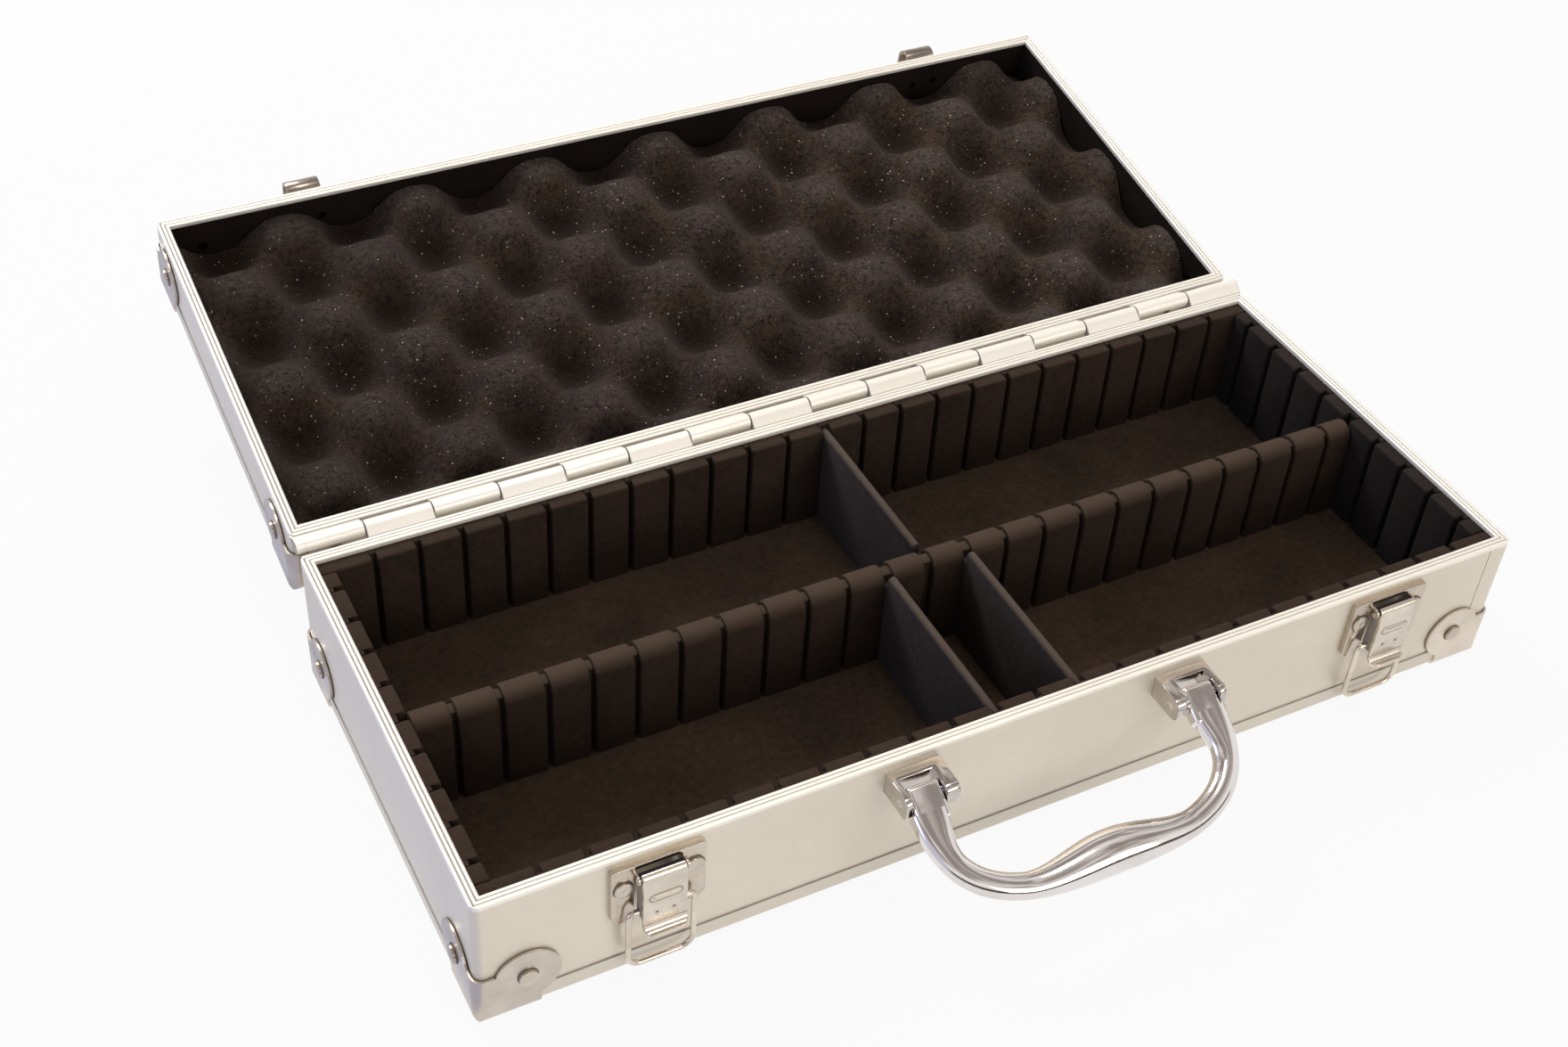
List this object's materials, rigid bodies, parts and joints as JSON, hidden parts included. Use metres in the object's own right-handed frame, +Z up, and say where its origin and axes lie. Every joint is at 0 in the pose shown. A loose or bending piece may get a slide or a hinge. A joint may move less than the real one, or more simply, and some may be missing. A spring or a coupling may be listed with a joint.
{
  "type": "slot car carrying case",
  "caption": "Aluminium carrying case, lid open, with slotted foam liners, lift-out foam dividers, egg-crate lid foam, draw latches and a swinging handle.",
  "frame": {"origin": "middle of the base's footprint, on the plane that the case stands on", "axes": "+X to the right along the front, +Y from the front to the hinge, +Z up"},
  "size_m": [0.4046, 0.4, 0.0865],
  "materials": {
    "aluminium_trim": "satin",
    "aluminium_sheet": "satin",
    "faced_board": "satin",
    "fibreboard": "matte",
    "lining": "matte",
    "egg_crate_foam": "matte",
    "eva_foam": "matte",
    "chrome_casting": "polished",
    "nickel_steel": "satin"
  },
  "bodies": {
    "base": {"base_edge": "aluminium_trim", "base_bottom": "faced_board", "base_core": "fibreboard", "base_skin": "aluminium_sheet", "base_rim_front": "aluminium_trim", "base_rim_right": "aluminium_trim", "base_rim_back": "aluminium_trim", "base_rim_left": "aluminium_trim", "base_cap_front_left": "nickel_steel", "base_cap_front_right": "nickel_steel", "base_cap_back_left": "nickel_steel", "base_cap_back_right": "nickel_steel", "base_cap_rivets": "nickel_steel", "hinge_pin": "nickel_steel", "floor_mat": "eva_foam", "liner_front": "eva_foam", "liner_back": "eva_foam", "liner_left": "eva_foam", "liner_right": "eva_foam", "centre_divider": "eva_foam", "cross_divider_back": "eva_foam", "cross_divider_front_left": "eva_foam", "cross_divider_front_right": "eva_foam", "latch_plate_left": "nickel_steel", "latch_plate_right": "nickel_steel", "latch_rivets": "nickel_steel", "lever_pin_left": "nickel_steel", "lever_pin_right": "nickel_steel", "handle_bracket_left": "chrome_casting", "handle_bracket_right": "chrome_casting", "handle_pin_left": "chrome_casting", "handle_pin_right": "chrome_casting"},
    "lid": {"lid_edge": "aluminium_trim", "lid_top": "faced_board", "lid_core": "fibreboard", "lid_skin": "aluminium_sheet", "lid_rim_front": "aluminium_trim", "lid_rim_right": "aluminium_trim", "lid_rim_back": "aluminium_trim", "lid_rim_left": "aluminium_trim", "lid_cap_front_left": "nickel_steel", "lid_cap_front_right": "nickel_steel", "lid_cap_back_left": "nickel_steel", "lid_cap_back_right": "nickel_steel", "lid_cap_rivets": "nickel_steel", "lid_lining": "lining", "lid_foam": "egg_crate_foam", "strike_left": "nickel_steel", "strike_right": "nickel_steel", "strike_rivets": "nickel_steel"},
    "handle": {"handle": "chrome_casting"},
    "lever_left": {"lever_left": "nickel_steel"},
    "bail_left": {"bail_left": "nickel_steel"},
    "lever_right": {"lever_right": "nickel_steel"},
    "bail_right": {"bail_right": "nickel_steel"}
  },
  "joints": [
    {"name": "lid_hinge", "type": "hinge", "parent": "base", "child": "lid", "pos_m": [0, 0.088, 0.056], "axis": [1, 0, 0], "range_deg": [0, 170]},
    {"name": "handle_swing", "type": "hinge", "parent": "base", "child": "handle", "pos_m": [0.0017, -0.093, 0.0462], "axis": [-1, 0, 0], "range_deg": [0, 56]},
    {"name": "lever_left_swing", "type": "hinge", "parent": "base", "child": "lever_left", "pos_m": [-0.1403, -0.0874, 0.0481], "axis": [-1, 0, 0], "range_deg": [0, 90]},
    {"name": "lever_right_swing", "type": "hinge", "parent": "base", "child": "lever_right", "pos_m": [0.1437, -0.0874, 0.0481], "axis": [-1, 0, 0], "range_deg": [0, 90]},
    {"name": "bail_left_swing", "type": "hinge", "parent": "lever_left", "child": "bail_left", "pos_m": [-0.1403, -0.0874, 0.0325], "axis": [-1, 0, 0], "range_deg": [-5, 115]},
    {"name": "bail_right_swing", "type": "hinge", "parent": "lever_right", "child": "bail_right", "pos_m": [0.1437, -0.0874, 0.0325], "axis": [-1, 0, 0], "range_deg": [-5, 115]}
  ]
}
